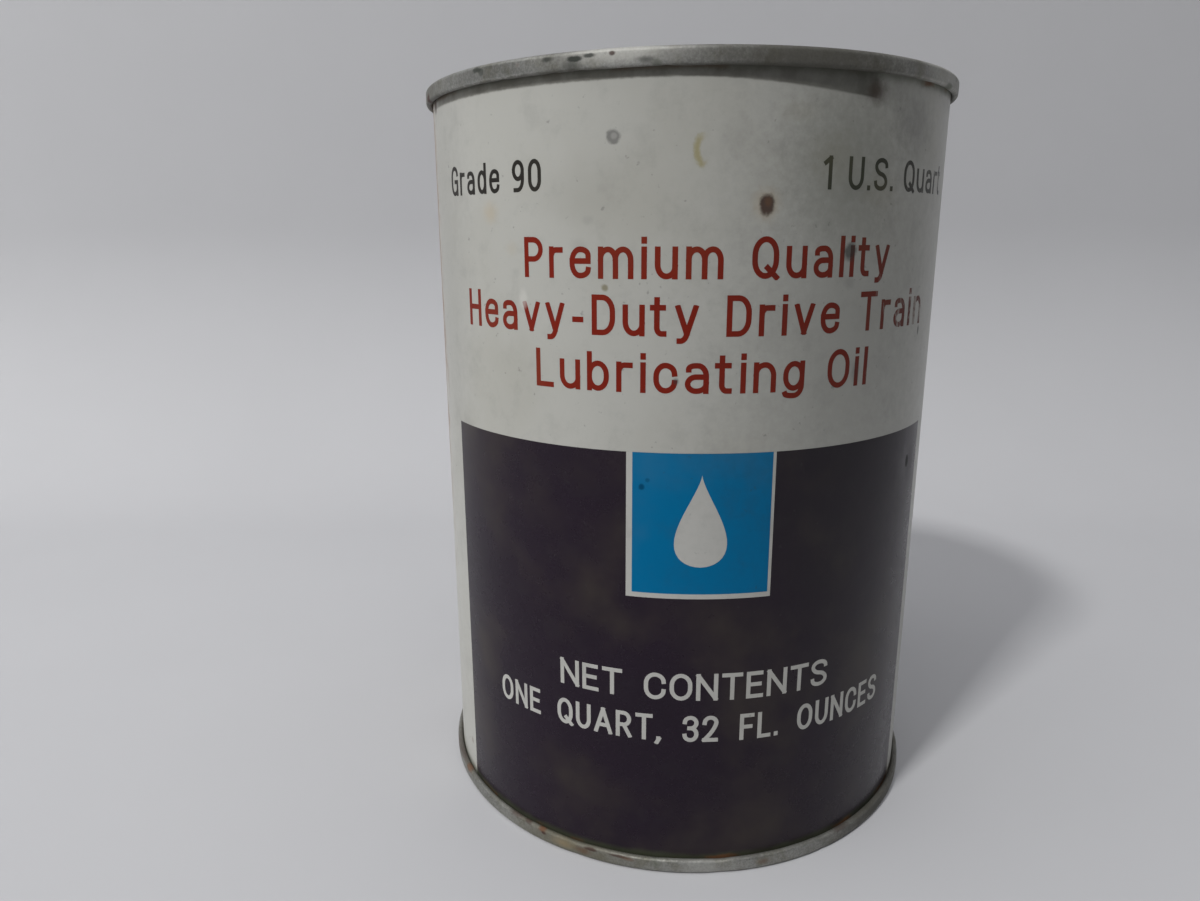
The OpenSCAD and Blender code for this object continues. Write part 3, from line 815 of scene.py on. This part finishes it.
def weathering_and_shade():
    """A node group that lays the stains, grime and rust of the wall, and painted shade and the top seam's
    painted shadow, over any ink or enamel.
    """
    tree = bpy.data.node_groups.new("weathering_and_shade", "ShaderNodeTree")
    for name, kind, way in (
        ("Color", "NodeSocketColor", "INPUT"), ("Roughness", "NodeSocketFloat", "INPUT"),
        ("Color", "NodeSocketColor", "OUTPUT"), ("Roughness", "NodeSocketFloat", "OUTPUT"),
        ("Dirt and painted light", "NodeSocketFloat", "OUTPUT"),
    ):
        tree.interface.new_socket(name, socket_type=kind, in_out=way)
    n = Nodes(tree)
    given = tree.nodes.new("NodeGroupInput")
    result = tree.nodes.new("NodeGroupOutput")
    s, z = n.wall_place()
    ragged = n.calc("MULTIPLY", n.calc("SUBTRACT", n.noise(0.7, 5, 0.65), 0.5), 0.9)
    patchy = n.noise(0.16, 5, 0.65, shift=5.0)
    from_end = n.calc("MINIMUM", z, n.calc("SUBTRACT", CAN_H, z))
    colour = given.outputs["Color"]
    dirt_and_painted_light = 0.0

    def lay(amount, tint):
        nonlocal colour, dirt_and_painted_light
        colour = n.mix(amount, colour, tint)
        dirt_and_painted_light = n.calc("MAXIMUM", dirt_and_painted_light, amount)

    # a yellowed film in wide patches, and grey handling marks in small ones
    film = n.step(n.noise(0.045, 4, shift=3.0), 0.45, 0.8)
    lay(n.calc("MULTIPLY", film, 0.15), OLIVE)
    clouds = n.step(n.noise(0.17, 6, 0.7, shift=13.0), 0.48, 0.72)
    lay(n.calc("MULTIPLY", clouds, 0.11), SMUT_AND_SHADE)
    specks = n.step(n.noise(0.9, 2, shift=9.0), 0.69, 0.77)
    lay(n.calc("MULTIPLY", specks, 0.32), SMUT_AND_SHADE)
    # darker in the crevice beside each double seam, with a little rust
    near = n.calc("ADD", from_end, n.calc("MULTIPLY", patchy, -1.8))
    lay(n.calc("MULTIPLY", n.step(near, SEAM_H + 0.4, SEAM_H - 1.0), 0.6), MOSS)
    rusty = n.calc("MULTIPLY", n.step(near, SEAM_H - 0.3, SEAM_H - 0.9),
                   n.step(n.noise(0.07, 4, shift=8.0), 0.5, 0.62))
    lay(n.calc("MULTIPLY", rusty, 0.8), RUST)
    # painted shadow of the top seam on the front, mixed with grime: a band that widens to the right, as
    # the seam's cast shadow does, and stops there
    depth = n.blend(n.step(s, -5.0, 36.0), SHADOW_BAND_LEFT, SHADOW_BAND_RIGHT)
    below = n.calc("SUBTRACT", n.calc("SUBTRACT", CAN_H - SEAM_H, z), n.calc("MULTIPLY", ragged, 0.4))
    band = n.step(n.calc("SUBTRACT", below, depth), 0.25, -0.15)
    band = n.calc("MULTIPLY", band, n.step(n.calc("ADD", s, ragged), 29.5, 27.0))
    band = n.calc("MULTIPLY", band, n.step(n.calc("ADD", s, below), -70.0, -50.0))
    lay(n.calc("MULTIPLY", band, n.blend(n.step(patchy, 0.35, 0.65), 0.68, 0.82)), SHADE_AND_GRIME)
    lay_marks(n, MARKS, (s, z), ragged, lay)
    # a crescent: a round stain with a round bite out of it
    s0, z0, half_w, half_h = CRESCENT
    left, bite = [], []
    lay_marks(n, [(s0, z0, half_w, half_h, OLIVE, 1.0, 0.4)], (s, z), ragged,
              lambda amount, tint: left.append(amount))
    lay_marks(n, [(s0 + 0.9, z0 + 0.3, half_w, half_h * 0.85, OLIVE, 1.0, 0.4)], (s, z), ragged,
              lambda amount, tint: bite.append(amount))
    bitten = n.calc("MULTIPLY", left[0], n.calc("SUBTRACT", 1.0, bite[0]))
    lay(n.calc("MULTIPLY", bitten, 0.8), DRIED_OIL)
    # rust that creeps out of the bare margin, and a thin stain ahead of it
    from_margin = n.calc("ABSOLUTE", n.calc("SUBTRACT", s, SEAM_SIDE * BODY_R))
    creep = n.step(n.calc("ADD", from_margin, n.calc("MULTIPLY", patchy, -4.0)),
                   BARE_MARGIN + 2.2, BARE_MARGIN - 0.6)
    lay(n.calc("MULTIPLY", creep, 0.7), RUST)
    wander = n.calc("MULTIPLY", patchy, -14.0)
    stain = n.calc("MULTIPLY", n.step(n.calc("ADD", from_margin, wander), 10.0, 4.0),
                   n.step(n.calc("SUBTRACT", z, n.calc("MULTIPLY", wander, 4.0)), 70.0, 125.0))
    lay(n.calc("MULTIPLY", stain, n.blend(patchy, 0.35, 0.9)), STAIN)
    tree.links.new(colour, result.inputs["Color"])
    rough = n.blend(dirt_and_painted_light, given.outputs["Roughness"], 0.75)
    tree.links.new(rough, result.inputs["Roughness"])
    tree.links.new(dirt_and_painted_light, result.inputs["Dirt and painted light"])
    return tree


weather_and_shade_tree = weathering_and_shade()


def weathered_and_shaded(nodes, colour, roughness):
    group = nodes.tree.nodes.new("ShaderNodeGroup")
    group.node_tree = weather_and_shade_tree
    for name, value in (("Color", colour), ("Roughness", roughness)):
        if isinstance(value, bpy.types.NodeSocket):
            nodes.tree.links.new(value, group.inputs[name])
        else:
            group.inputs[name].default_value = value
    return group.outputs


# ------------------------------------------------------------------------------- materials

ENAMEL = (0.425, 0.422, 0.386)
WORN = (0.30, 0.28, 0.25)
TIN_METALLIC = 0.85


def tin_colour(n):
    """Dull tin plate: cloudy, with olive grime."""
    cloudy = n.mix(n.noise(0.25, 4, 0.6), (0.28, 0.28, 0.26), (0.45, 0.45, 0.42))
    grime = n.step(n.noise(0.3, 6, 0.7, shift=2.0), 0.45, 0.68)
    dull = n.mix(n.calc("MULTIPLY", grime, 0.5), cloudy, (0.17, 0.16, 0.105))
    speckle = n.step(n.noise(2.6, 3, 0.6, shift=17.0), 0.35, 0.65)
    return n.mix(speckle, n.mix(0.28, dull, SMUT_AND_SHADE), dull)


def enamel_material():
    material, n, shader = new_material("enamel")
    tone = n.mix(n.noise(0.03, 3), tuple(0.96 * c for c in ENAMEL), ENAMEL)
    colour, rough, dirt_and_painted_light = weathered_and_shaded(n, tone, n.blend(n.noise(0.4, 3), 0.29, 0.41))
    s, _ = n.wall_place()
    from_margin = n.calc("ABSOLUTE", n.calc("SUBTRACT", s, SEAM_SIDE * BODY_R))
    ragged = n.calc("MULTIPLY", n.calc("SUBTRACT", n.noise(1.2, 2), 0.5), 0.25)
    bare = n.step(n.calc("ADD", from_margin, ragged), BARE_MARGIN, BARE_MARGIN - 0.15)
    rusty = n.mix(n.step(n.noise(0.3, 5, 0.7, shift=4.0), 0.5, 0.62), tin_colour(n), RUST)
    link(n, shader, Base_Color=n.mix(bare, colour, rusty), Roughness=rough,
         Metallic=n.calc("MULTIPLY", bare, 0.6))
    shader.inputs["Specular IOR Level"].default_value = 0.5
    bump(n, shader, n.blend(dirt_and_painted_light, n.noise(0.9, 2), n.noise(3.0, 3)), 0.012)
    return material


def ink_material(name, colour, roughness, drift=0.0, gloss=0.5, wear=0.0, fade=None):
    """Gloss ink. drift is how far its tone wanders, and wear how much of it is rubbed thin.
    fade is (from s, to s, colour): the ink turns to that colour over that part of the front."""
    material, n, shader = new_material(name)
    other = tuple(min(1.0, c * (1 + drift)) for c in colour)
    tone = n.mix(n.noise(0.08, 4), colour, other)
    scratchy = n.noise(0.5, 6, 0.7, stretch=(1, 1, 0.35))
    if fade:
        start, end, faded = fade
        s, _ = n.wall_place()
        along = n.calc("MULTIPLY", n.step(s, start, end), n.step(s, 70.0, 60.0))
        tone = n.mix(n.calc("MULTIPLY", along, n.blend(scratchy, 0.6, 1.0)), tone, faded)
        missing = n.step(n.calc("ADD", scratchy, n.calc("MULTIPLY", along, 0.12)), 0.60, 0.68)
        tone = n.mix(n.calc("MULTIPLY", n.calc("MULTIPLY", missing, along), 0.7), tone, ENAMEL)
    if wear:
        rubbed = n.step(scratchy, 0.66, 0.76)
        tone = n.mix(n.calc("MULTIPLY", rubbed, wear), tone, WORN)
    out, rough, dirt_and_painted_light = weathered_and_shaded(n, tone, n.blend(n.noise(0.3, 3), roughness, roughness + 0.1))
    link(n, shader, Base_Color=out, Roughness=rough)
    shader.inputs["Specular IOR Level"].default_value = gloss
    bump(n, shader, n.noise(0.9, 2), 0.006)
    return material


def tin_material():
    """The ends: dull tin plate with rolling grain, painted shade under the curl where the hook meets the
    wall, and the seams' marks, among them painted shade and painted highlights.
    """
    material, n, shader = new_material("tin_plate")
    s, z = n.wall_place()
    from_end = n.calc("MINIMUM", z, n.calc("SUBTRACT", CAN_H, z))
    colour = tin_colour(n)
    dirt_and_painted_light = 0.0

    def lay(amount, tint):
        nonlocal colour, dirt_and_painted_light
        colour = n.mix(amount, colour, tint)
        dirt_and_painted_light = n.calc("MAXIMUM", dirt_and_painted_light, amount)

    def lay_on_seam(amount, tint):
        lay(n.calc("MULTIPLY", amount, on_seam), tint)

    axes = n.add("SeparateXYZ", {0: n.add("TexCoord").outputs["Object"]}).outputs
    squares = [n.calc("MULTIPLY", axis, axis) for axis in (axes[0], axes[1])]
    across = n.calc("SQRT", n.calc("ADD", *squares))
    on_seam = n.step(across, (CHUCK_R - 0.2) * MM, CHUCK_R * MM)
    fine = n.calc("MULTIPLY", n.calc("SUBTRACT", n.noise(0.9, 5, 0.65, shift=7.0), 0.5), 0.9)
    # painted shade on the underside of the seam's curl, along its edge by the wall
    edge = n.step(n.calc("ADD", from_end, fine), SEAM_H - 0.35, SEAM_H - 0.05)
    lay_on_seam(n.calc("MULTIPLY", edge, n.blend(n.noise(0.12, 3, shift=21.0), 0.2, 0.8)), SHADE_AND_GRIME)
    lay(n.calc("MULTIPLY", n.step(n.noise(0.7, 4, 0.6, shift=11.0), 0.67, 0.73), 0.6), SMUT_AND_SHADE)
    lay_marks(n, SEAM_MARKS, (s, z), fine, lay_on_seam)
    clean = n.calc("SUBTRACT", 1.0, dirt_and_painted_light)
    grain = n.noise(2.0, 3, stretch=(0.15, 0.15, 3.0))
    link(n, shader, Base_Color=colour, Metallic=n.calc("MULTIPLY", clean, TIN_METALLIC),
         Roughness=n.blend(clean, 0.8, n.blend(grain, 0.42, 0.60)))
    bump(n, shader, n.calc("ADD", n.calc("MULTIPLY", grain, 0.5), n.noise(1.2, 3)), 0.02)
    return material


def solder_material():
    material, n, shader = new_material("dull_solder")
    colour = n.mix(n.noise(0.6, 4), (0.30, 0.30, 0.30), (0.48, 0.48, 0.47))
    colour = n.mix(n.step(n.noise(0.4, 4, shift=6.0), 0.58, 0.68), colour, RUST)
    link(n, shader, Base_Color=colour, Roughness=n.blend(n.noise(1.0), 0.4, 0.6))
    shader.inputs["Metallic"].default_value = 0.8
    bump(n, shader, n.noise(1.5, 4), 0.04)
    return material


def compound_material():
    material, n, shader = new_material("seam_compound")
    colour = n.mix(n.noise(1.0, 4), (0.05, 0.055, 0.06), (0.10, 0.10, 0.105))
    link(n, shader, Base_Color=colour, Roughness=n.blend(n.noise(2.0), 0.6, 0.8))
    bump(n, shader, n.noise(2.0, 3), 0.02)
    return material


def lubricant_material():
    material, n, shader = new_material("amber_lubricant")
    colour = n.mix(n.noise(0.02, 2), (0.36, 0.19, 0.04), (0.52, 0.30, 0.08))
    link(n, shader, Base_Color=colour, Roughness=n.blend(n.noise(0.1), 0.04, 0.08))
    shader.inputs["IOR"].default_value = 1.47
    return material


def paint(piece, material):
    piece.data.materials.clear()
    piece.data.materials.append(material)


tin = tin_material()
inks = {
    "panel": ink_material("near_black_ink", (0.0066, 0.0016, 0.0076), 0.22, drift=0.5, gloss=0.27),
    "white": ink_material("white_ink", (0.455, 0.45, 0.42), 0.4, drift=-0.08, wear=0.2),
    "blue": ink_material("blue_ink", (0.0, 0.125, 0.275), 0.3, drift=0.1, gloss=0.06),
    "red": ink_material("red_ink", (0.165, 0.0105, 0.0035), 0.42, drift=0.2, gloss=0.15, wear=0.3,
                        fade=(18.0, 48.0, (0.10, 0.045, 0.038))),
    "code": ink_material("black_ink", (0.012, 0.010, 0.008), 0.42, drift=0.5, gloss=0.35,
                         fade=(26.0, 55.0, (0.09, 0.09, 0.085))),
}
paint(can_body, enamel_material())
paint(top_end, tin)
paint(bottom_end, tin)
paint(solder, solder_material())
for kind, pieces in print_pieces.items():
    for piece in pieces:
        paint(piece, inks[kind])

compound = compound_material()
for node in ("top_seam_compound", "bottom_seam_compound"):
    paint(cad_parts[node], compound)
paint(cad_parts["gear_lubricant"], lubricant_material())

# ------------------------------------------------------------------------ riding, and hiding the CAD parts

for piece, node, slot in (
    (can_body, "can_body", "enamelled_tinplate"),
    (top_end, "top_end", "bare_tinplate"),
    (bottom_end, "bottom_end", "bare_tinplate"),
    (solder, "side_seam_solder", "solder"),
):
    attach(piece, "root")
    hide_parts(node)
for pieces in print_pieces.values():
    for piece in pieces:
        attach(piece, "root")

# --------------------------------------------------------------- floor, lights and camera


def make_floor():
    """A pale sheet of paper, which sweeps up to a wall behind the can."""
    half, back, wall, bend = 900.0, 260.0, 900.0, 120.0
    line = np.vstack([
        [[-half, 0]], turn(back - bend, bend, bend, -90, 0, 24), [[back, wall]],
    ])
    verts = [(x, y, z) for y, z in line for x in (-half, half)]
    faces = [[2 * i, 2 * i + 1, 2 * i + 3, 2 * i + 2] for i in range(len(line) - 1)]
    return make_mesh("floor", verts, faces)


floor = make_floor()
material, n, shader = new_material("paper")
link(n, shader, Base_Color=n.mix(n.noise(0.01, 3), (0.495, 0.495, 0.505), (0.53, 0.53, 0.54)))
shader.inputs["Roughness"].default_value = 0.8
paint(floor, material)


def from_angles(turned, raised, distance):
    """A place seen from the middle of the can: degrees to the right of the front, and up."""
    turned, raised = math.radians(turned), math.radians(raised)
    level = distance * math.cos(raised)
    height = distance * math.sin(raised)
    return Vector((level * math.sin(turned), -level * math.cos(turned), height)) + MIDDLE


def soft_box(name, place, width, height, power):
    data = bpy.data.lights.new(name, "AREA")
    data.shape = "RECTANGLE"
    data.size = width
    data.size_y = height
    data.energy = power
    light = bpy.data.objects.new(name, data)
    light.location = place
    light.rotation_euler = (MIDDLE - place).to_track_quat("-Z", "Y").to_euler()
    bpy.context.scene.collection.objects.link(light)
    return light


MIDDLE = Vector((0, 0, CAN_H * MM / 2))
soft_box("key", from_angles(-41, 49, 3.0), 0.3, 0.3, 45.0)
fill = soft_box("fill", from_angles(-76, 16, 1.0), 0.9, 0.6, 3.2)
fill.visible_glossy = False

# The room: dim around the camera, and bright overhead.
world = bpy.data.worlds.new("studio")
bpy.context.scene.world = world
world.use_nodes = True
n = Nodes(world.node_tree)
way = n.add("SeparateXYZ", {0: n.add("TexCoord").outputs["Generated"]}).outputs
overhead = n.step(way[2], 0.5, 1.0)
background = world.node_tree.nodes["Background"]
background.inputs["Color"].default_value = (0.95, 0.96, 1.0, 1)
world.node_tree.links.new(n.blend(overhead, 0.10, 1.12), background.inputs["Strength"])

CAMERA_PLACE = (-0.01453, -0.18460, 0.11496)
CAMERA_TURN = 0.91      # degrees to the left
CAMERA_DOWN = 14.345    # degrees below level
CAMERA_ROLL = 0.246     # degrees
CAMERA_LENS = 25.54     # millimetres, for a sensor 36 mm wide
camera_data = bpy.data.cameras.new("camera")
camera_data.lens = CAMERA_LENS
camera_data.sensor_width = 36
camera_data.clip_start = 0.01
camera = bpy.data.objects.new("camera", camera_data)
aim = Euler((math.radians(90 - CAMERA_DOWN), 0, math.radians(CAMERA_TURN))).to_matrix().to_4x4()
roll = Matrix.Rotation(math.radians(-CAMERA_ROLL), 4, "Z")
camera.matrix_world = Matrix.Translation(CAMERA_PLACE) @ aim @ roll
bpy.context.scene.collection.objects.link(camera)
bpy.context.scene.camera = camera
bpy.context.scene.view_settings.view_transform = "Standard"
